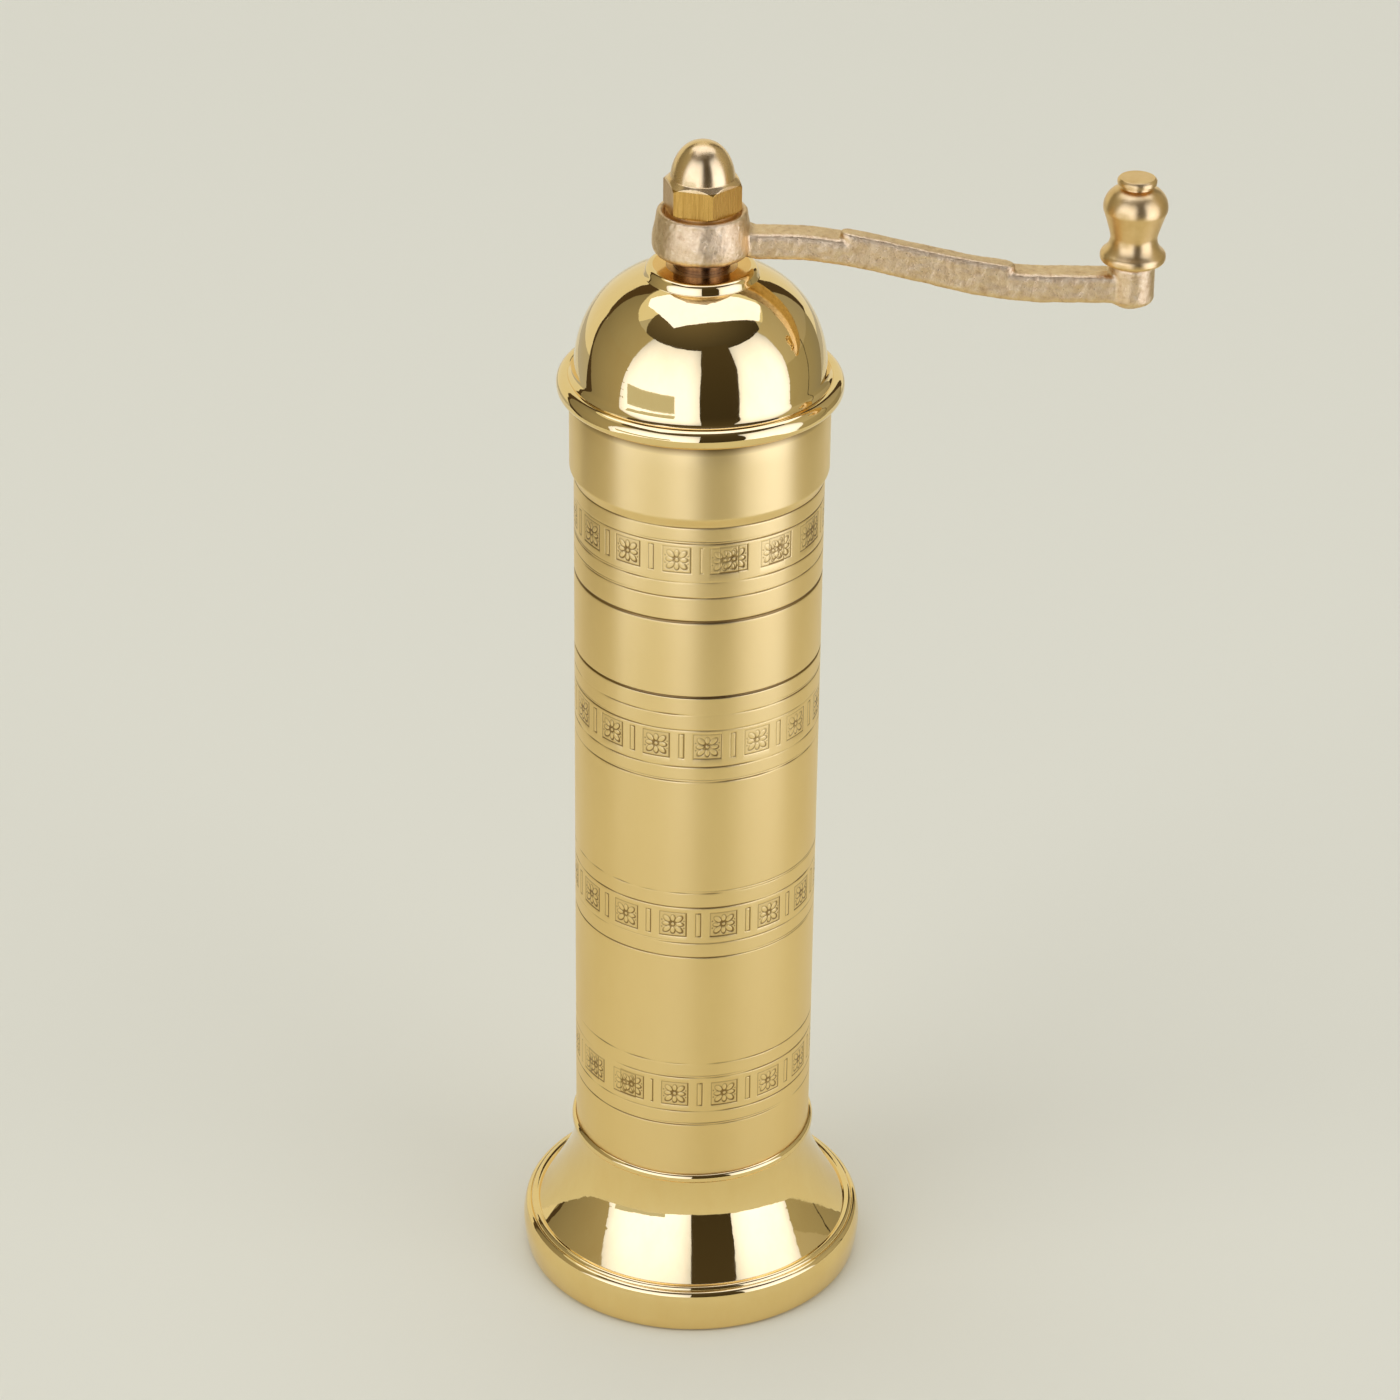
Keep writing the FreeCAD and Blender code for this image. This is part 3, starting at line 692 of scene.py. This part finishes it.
def makeCrank():
    # hub, arm, pad and boss overlap and are melted into one closed casting
    low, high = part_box("crank_arm")
    reach = (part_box("knob")[0][0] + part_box("knob")[1][0]) / 2 / mm
    hubR = -low[0] / mm
    hubZ0, hubZ1 = crank["hubFoot"], high[2] / mm
    hub = lathe("hubBlank", [
        (0, hubZ0), (7.2, hubZ0), (hubR, 211.5, 8.4, 210.3), (8.62, 213.5, 8.74, 212.5),
        (7.95, hubZ1 - 0.7),
        (7.6, hubZ1, 7.88, hubZ1 - 0.2), (crank["recess"] + 0.4, hubZ1), (crank["recess"], hubZ1 - 0.4),
        (crank["recess"], crank["recessFloor"]), (0, crank["recessFloor"])], cols=160, rounding=0.3)
    x = np.linspace(7.2, reach, 160)
    flare = 0.5 * ease((9.6 - x) / 2.2)
    half = crank["width"] / 2 + flare * 0.6
    arm = squareBar("armBlank", x, -half, half, armLow(x) + flare, armHigh(x) + flare)
    padX = np.linspace(crank["padFrom"], crank["padTo"], 110)
    fromEnd = np.minimum(padX - padX[0], padX[-1] - padX)
    nose = np.sqrt(np.clip(1 - (1 - np.clip(fromEnd / 1.8, 0, 1)) ** 2, 0.02, 1))
    padY, padHalf = -crank["width"] / 2 + crank["padWidth"] / 2, crank["padWidth"] / 2 * nose
    padTop = armHigh(padX) + crank["padLift"] * (0.75 + 0.25 * nose)
    pad = squareBar("padBlank", padX, padY - padHalf, padY + padHalf, armLow(padX) + 1.5, padTop, 0.7)
    bossR, foot, top = crank["bossR"], crank["bossFoot"], crank["bossTop"]
    boss = lathe("bossBlank", [(0, foot), (2.3, foot), (2.8, 201.3), (3.5, 201.3), (bossR, 202.0),
                               (bossR, 208.3), (3.6, top), (0, top)], cols=96, x=reach, rounding=0.3)
    casting = joined("crankCasting", [arm, pad, hub, boss])
    remesh = casting.modifiers.new("skin", "REMESH")
    remesh.mode, remesh.voxel_size = "VOXEL", crank["voxel"] * mm
    remesh.use_smooth_shade = True
    relax = casting.modifiers.new("relax", "SMOOTH")
    relax.factor, relax.iterations = 0.5, 4
    applied(casting)
    # foundry skin: each vertex moves along its normal by a seeded sum of sines, hundredths of a mm
    mesh = casting.data
    count = len(mesh.vertices)
    spots, normal = np.empty(count * 3), np.empty(count * 3)
    mesh.vertices.foreach_get("co", spots)
    mesh.vertex_normals.foreach_get("vector", normal)
    spots, normal = spots.reshape(-1, 3), normal.reshape(-1, 3)
    draw = np.random.default_rng(5)
    ripple = np.zeros(count)
    for wave in crank["waves"]:
        for _ in range(5):
            direction = draw.normal(size=3)
            direction *= 2 * np.pi / (wave * mm) / np.linalg.norm(direction)
            ripple += wave ** 0.6 * np.sin(spots @ direction + draw.uniform(0, 6.28)) / 5
    spots += normal * (ripple * crank["ripple"] * mm)[:, None]
    mesh.vertices.foreach_set("co", spots.ravel())
    mesh.update()
    return place(casting, "crank", "cast_brass", cast, "crank_arm")


def makeNut():
    # each height's section is the smaller of a hexagon and a circle: r = min(hex(angle), cone(z)),
    # then a bullet-shaped dome, (r / wide)^p + ((z - z0) / high)^p = 1
    z0, z1 = span("acorn_nut")[1:]
    nut = {"flats": 12.25, "corner": 15.0, "hexTop": 223.9, "wide": 5.75, "domeFrom": 222.2, "power": 2.2,
           "stud": 3.05, "boreTop": 227.6, "cols": 360}
    cols, stud = nut["cols"], nut["stud"]
    angle = np.arange(cols) / cols * 2 * np.pi
    corner = math.radians(nut["corner"] - 90)
    hexR = nut["flats"] / 2 / np.cos((angle - corner) % (np.pi / 3) - np.pi / 6)
    z = np.concatenate([np.linspace(z0, z0 + 0.6, 8), np.linspace(z0 + 1, 221.5, 5),
                        np.linspace(221.6, nut["hexTop"], 30)])
    cone = np.interp(z, [z0, z0 + 0.55, 222.4, nut["hexTop"]], [6.55, 7.3, 7.3, 5.8])
    hexPart = np.minimum(hexR[None, :], cone[:, None])
    high, p = z1 - nut["domeFrom"], nut["power"]
    t = np.linspace(math.asin(((nut["hexTop"] + 0.05 - nut["domeFrom"]) / high) ** (p / 2)), 1.555, 48)
    domeR, domeZ = nut["wide"] * np.cos(t) ** (2 / p), nut["domeFrom"] + high * np.sin(t) ** (2 / p)
    boreZ, boreR = np.array([nut["boreTop"], z0 + 0.4, z0]), np.array([stud, stud, stud + 0.35])
    allZ = np.concatenate([boreZ, z, domeZ])
    allR = np.concatenate([boreR[:, None] + 0 * angle, hexPart, domeR[:, None] + 0 * angle])
    points = np.stack([allR * np.cos(angle), allR * np.sin(angle), allZ[:, None] + 0 * angle], -1)
    obj = cappedRod("acornNut", points, np.array([[0, 0, nut["boreTop"]], [0, 0, z1]]), sharp=28)
    place(obj, "nut", "turned_brass", hexFlat, "acorn_nut")
    return secondMaterial(obj, nutTop, lambda x, y, z: z > nut["hexTop"] - 0.9)


def makeKnob():
    # the knob and its rivet, each one outline turned about the end of the arm
    low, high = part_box("knob")
    x, z0, z1 = (low[0] + high[0]) / 2 / mm, low[2] / mm, high[2] / mm
    bore = 2.06
    knobPiece = lathe("knobBody", [
        (bore, z0), (5.2, z0), (5.73, z0 + 0.9, 5.6, z0 + 0.3), (5.3, z0 + 1.9, 5.65, z0 + 1.5),
        (4.13, z0 + 4.8, 4.35, z0 + 3.2), (5.6, z0 + 9.5, 4.75, z0 + 7.0),
        (3.3, z0 + 13.5, 5.05, z0 + 12.1),
        (2.75, z0 + 13.75), (2.75, z1), (bore, z1)], cols=192, x=x, arcSteps=32)
    place(knobPiece, "knob", "turned_brass", turned, "knob")
    p0, p1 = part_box("knob_pin")[0][2] / mm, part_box("knob_pin")[1][2] / mm
    pin = lathe("knobRivet", [
        (0, p0), (1.6, p0 + 0.2), (2.0, p0 + 0.6), (2.0, p1 - 1.1), (3.45, p1 - 1.1), (3.45, p1 - 0.4),
        (3.1, p1), (0, p1)], cols=128, x=x)
    place(pin, "crank", "turned_brass", turned, "knob_pin")


makeCrank()
makeNut()
makeKnob()
print("crank, nut and knob made")


# burr spring

def makeSpring():
    # round wire along a helix: centre (R cos a, R sin a, z0 + rise a), each ring square to the path
    low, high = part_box("burr_spring")
    spring = {"wire": 0.6, "turns": 7.0, "steps": 420, "sides": 18}
    wire, turns = spring["wire"], spring["turns"]
    coil = (high[1] - low[1]) / 2 / mm - wire
    a = np.linspace(0, 2 * np.pi * turns, spring["steps"] + 1)
    z0, z1 = low[2] / mm + wire, high[2] / mm - wire
    rise = (z1 - z0) / a[-1]
    centre = np.stack([coil * np.cos(a), coil * np.sin(a), z0 + rise * a], -1)
    out = np.stack([np.cos(a), np.sin(a), 0 * a], -1)
    along = np.stack([-coil * np.sin(a), coil * np.cos(a), rise + 0 * a], -1)
    across = np.cross(out, along / np.linalg.norm(along, axis=1)[:, None])
    b = (np.arange(spring["sides"]) / spring["sides"] * 2 * np.pi)[None, :, None]
    grid = centre[:, None] + wire * (np.cos(b) * out[:, None] - np.sin(b) * across[:, None])
    coilPiece = cappedRod("springCoil", grid, centre[[0, -1]])
    coilPiece.data.materials.append(steel)
    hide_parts("burr_spring")
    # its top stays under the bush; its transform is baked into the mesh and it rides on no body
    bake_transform(coilPiece)


makeSpring()
print("spring made")


# inside pieces keep their CAD shapes and get a finish

finishes = {
    "base_plate": satin, "receiver_floor": satin, "mill_housing": iron, "outer_burr": burr,
    "inner_burr": burr, "lower_bridge": steel, "bridge_screws": steel, "lock_nut": steel,
    "adjusting_screw": turned, "thrust_ball": steel, "spindle": steel, "spring_washer": steel,
    "upper_bridge": cast, "upper_bush": bronze, "spindle_collar": bronze, "collar_pin": steel,
    "cap_skirt": satin, "cap_bush": turned, "crank_washer": turned}
for node, material in finishes.items():
    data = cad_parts[node].data
    data.materials.clear()
    data.materials.append(material)
print("inner parts finished")


# studio: table, reflected cards, lamps and camera

studio = {"paper": (0.80, 0.79, 0.697), "tableFront": 0.43, "tableSide": 0.33, "cardR": 2.4,
          "dome": (0.0, 0.0, 0.19), "tableBack": 3.0, "far": 25.0, "overheadHeight": 1.2,
          "room": (0.92, 0.91, 0.87), "roomStrength": 0.53,
          "lamps": {"keyLeft": (-2.2, -1.6, 2.6, 2.2, 23.5), "keyRight": (2.2, -1.4, 2.4, 2.0, 15.0),
                    "top": (-0.2, 0.6, 3.4, 3.0, 32.0)}}      # x, y, z, size in m, watts


def flatMaterial(name, colour, strength=None, attribute=None):
    # matt paper without a strength, else an even glow, scaled by the attribute if one is named
    material = bpy.data.materials.new(name)
    material.use_nodes = True
    nodes = material.node_tree.nodes
    shader = nodes["Principled BSDF"]
    if strength is None:
        shader.inputs["Base Color"].default_value = (*colour, 1)
        shader.inputs["Roughness"].default_value = 0.95
        shader.inputs["Specular IOR Level"].default_value = 0.1
        return material
    glow = nodes.new("ShaderNodeEmission")
    glow.inputs["Color"].default_value = (*colour, 1)
    glow.inputs["Strength"].default_value = strength
    if attribute:
        level, scale = nodes.new("ShaderNodeAttribute"), nodes.new("ShaderNodeMath")
        level.attribute_name, scale.operation = attribute, "MULTIPLY"
        scale.inputs[1].default_value = strength
        material.node_tree.links.new(level.outputs["Fac"], scale.inputs[0])
        material.node_tree.links.new(scale.outputs[0], glow.inputs["Strength"])
    material.node_tree.links.new(glow.outputs[0], nodes["Material Output"].inputs["Surface"])
    return material


def sheetMesh(name, corners, material):
    # one flat face through the corners
    mesh = bpy.data.meshes.new(name)
    mesh.from_pydata(corners, [], [(0, 1, 2, 3)])
    mesh.materials.append(material)
    obj = bpy.data.objects.new(name, mesh)
    bpy.context.scene.collection.objects.link(obj)
    return obj


def card(name, low, high, colour, strength=1.0, radius=None, fade=0.0, top=0.0, tilt=0.0, rise=0.0):
    # patch of a sphere round the cap, seen only in reflections; low and high are (elevation, azimuth,
    # azimuth) of its lower and upper edges, azimuth 0 at the front and + towards the crank. Its
    # brightness is (1 - fade * u^4) * (1 + tilt * u) * (1 - top * v^3) * (1 + rise * (2v - 1)), where
    # u runs from -1 to 1 across it and v from 0 to 1 up it
    radius = radius or studio["cardR"]
    t = np.linspace(0, 1, 17)[:, None]
    e = np.radians(low[0] + (high[0] - low[0]) * t)
    first, last = (np.radians(low[k] + (high[k] - low[k]) * t) for k in (1, 2))
    a = first + (last - first) * np.linspace(0, 1, 25)[None, :]
    points = np.stack([radius * np.cos(e) * np.sin(a), -radius * np.cos(e) * np.cos(a),
                       radius * np.sin(e) + 0 * a], -1)
    points = points.reshape(-1, 3) + np.array(studio["dome"])
    i, j = np.arange(16)[:, None], np.arange(24)[None, :]
    quads = np.stack([i * 25 + j, (i + 1) * 25 + j, (i + 1) * 25 + j + 1, i * 25 + j + 1], -1).reshape(-1, 4)
    mesh = bpy.data.meshes.new(name)
    mesh.from_pydata(points.tolist(), [], quads.tolist())
    u = np.linspace(-1, 1, 25)[None, :]
    glow = (1 - fade * u ** 4) * (1 + tilt * u) * (1 - top * t ** 3) * (1 + rise * (2 * t - 1))
    mesh.attributes.new("glow", "FLOAT", "POINT").data.foreach_set("value", glow.astype(np.float32).ravel())
    mesh.materials.append(flatMaterial(name, colour, strength, "glow"))
    obj = bpy.data.objects.new(name, mesh)
    bpy.context.scene.collection.objects.link(obj)
    obj.visible_camera = obj.visible_diffuse = obj.visible_shadow = obj.visible_transmission = False
    return obj


def makeStudio():
    # in metres; the table shows in reflections, the paper round it doesn't
    paper = flatMaterial("paper", studio["paper"])
    front, side = studio["tableFront"], studio["tableSide"]
    back, far = studio["tableBack"], studio["far"]
    sheetMesh("table", [(-side, -front, 0), (side, -front, 0), (side, back, 0), (-side, back, 0)], paper)
    for k, (x0, x1, y0, y1) in enumerate(((-far, far, -far, -front), (-far, -side, -front, far),
                                          (side, far, -front, far), (-side, side, back, far))):
        surround = sheetMesh(f"surround{k}", [(x0, y0, 0), (x1, y0, 0), (x1, y1, 0), (x0, y1, 0)], paper)
        surround.visible_glossy = surround.visible_shadow = False
    white, dark, olive = (0.55, 0.62, 1.0), (0.060, 0.048, 0.030), (0.33, 0.30, 0.225)
    card("softLeft", (-36, -79, 0), (50, -62, 1), white, 3.1, None, 0.4, 0.45)
    card("softRight", (-34, 33, 87), (48, 34, 82), white, 3.1, None, 0.4, 0.45)
    card("gap", (-36, -1, 34), (52, 1, 35), dark, 1.0, 2.35, rise=0.25)
    card("lintel", (47, -78, 88), (86, -160, 160), (0.12, 0.10, 0.07), 1.0, 2.38, tilt=-0.3, rise=0.45)
    card("shelf", (-17.5, -67, -22), (-3, -67, -22), (0.62, 0.64, 0.63), 1.0, 2.3)
    card("wallLeft", (-36, -116, -73), (19, -124, -68), olive, tilt=0.28)
    card("wallLeftHigh", (19, -124, -68), (47, -160, -64), (0.33, 0.305, 0.235), tilt=0.3)
    card("wallRight", (-36, 86, 134), (6, 84, 144), (0.35, 0.325, 0.245), tilt=-0.2)
    card("wallRightHigh", (6, 84, 144), (48, 84, 160), (0.43, 0.405, 0.34), tilt=-0.2)
    card("edgeLeftLow", (-34, -125, -109), (-6, -119, -115.5), (0.07, 0.05, 0.03), 1.0, 2.33)
    card("edgeLeft", (-6, -119, -115.5), (19, -129, -124.5), (0.07, 0.05, 0.03), 1.0, 2.33)
    card("edgeLeftHigh", (19, -129, -124.5), (46, -173, -146), (0.08, 0.055, 0.03), 1.0, 2.33)
    card("edgeRight", (3, 143, 147), (44, 149, 169), (0.07, 0.05, 0.03), 1.0, 2.33)
    card("seamRight", (-24, 110, 111), (30, 114, 115), (0.05, 0.04, 0.03), 1.0, 2.33)
    card("backdrop", (-8, 100, 260), (62, 100, 260), (0.80, 0.785, 0.70), 1.0, 2.5)
    height = studio["overheadHeight"]
    plan = ((-0.36, -0.24), (0.20, -0.10), (0.82, 0.16), (0.71, 0.56), (-0.55, 0.64), (-0.62, 0.44))
    mesh = bpy.data.meshes.new("overhead")
    mesh.from_pydata([(x * height, y * height, studio["dome"][2] + height) for x, y in plan], [], [range(6)])
    mesh.materials.append(flatMaterial("overhead", white, 2.7))
    overhead = bpy.data.objects.new("overhead", mesh)
    bpy.context.scene.collection.objects.link(overhead)
    overhead.visible_camera = overhead.visible_diffuse = overhead.visible_shadow = False
    world = bpy.data.worlds.new("room")
    bpy.context.scene.world = world
    world.use_nodes = True
    background = world.node_tree.nodes["Background"]
    background.inputs["Color"].default_value = (*studio["room"], 1)
    background.inputs["Strength"].default_value = studio["roomStrength"]
    for name, (x, y, z, size, power) in studio["lamps"].items():
        lamp = bpy.data.lights.new(name, "AREA")
        lamp.size, lamp.energy = size, power
        obj = bpy.data.objects.new(name, lamp)
        obj.location = (x, y, z)
        obj.rotation_euler = (Vector((0, 0, 0.1)) - obj.location).to_track_quat("-Z", "Y").to_euler()
        obj.visible_camera = obj.visible_glossy = False
        bpy.context.scene.collection.objects.link(obj)


def makeCamera():
    # looks along pitch and yaw, then rolls about the line of sight
    eye = {"back": 0.70141, "height": 0.51205, "pitch": 29.186, "roll": 0.6627, "yaw": 0.047,
           "lens": 112.233}
    pitch, roll, yaw = (math.radians(eye[k]) for k in ("pitch", "roll", "yaw"))
    ahead = Vector((math.sin(yaw) * math.cos(pitch), math.cos(yaw) * math.cos(pitch), -math.sin(pitch)))
    right = Vector((math.cos(yaw), -math.sin(yaw), 0))
    upward = right.cross(ahead)
    x = math.cos(roll) * right + math.sin(roll) * upward
    y = -math.sin(roll) * right + math.cos(roll) * upward
    camera = bpy.data.cameras.new("camera")
    camera.lens, camera.sensor_width, camera.clip_start = eye["lens"], 36.0, 0.01
    obj = bpy.data.objects.new("camera", camera)
    where = (0, -eye["back"], eye["height"])
    obj.matrix_world = Matrix([(x[i], y[i], -ahead[i], where[i]) for i in range(3)] + [(0, 0, 0, 1)])
    bpy.context.scene.collection.objects.link(obj)
    bpy.context.scene.camera = obj
    bpy.context.scene.view_settings.view_transform = "Standard"


makeStudio()
makeCamera()
print("studio ready")
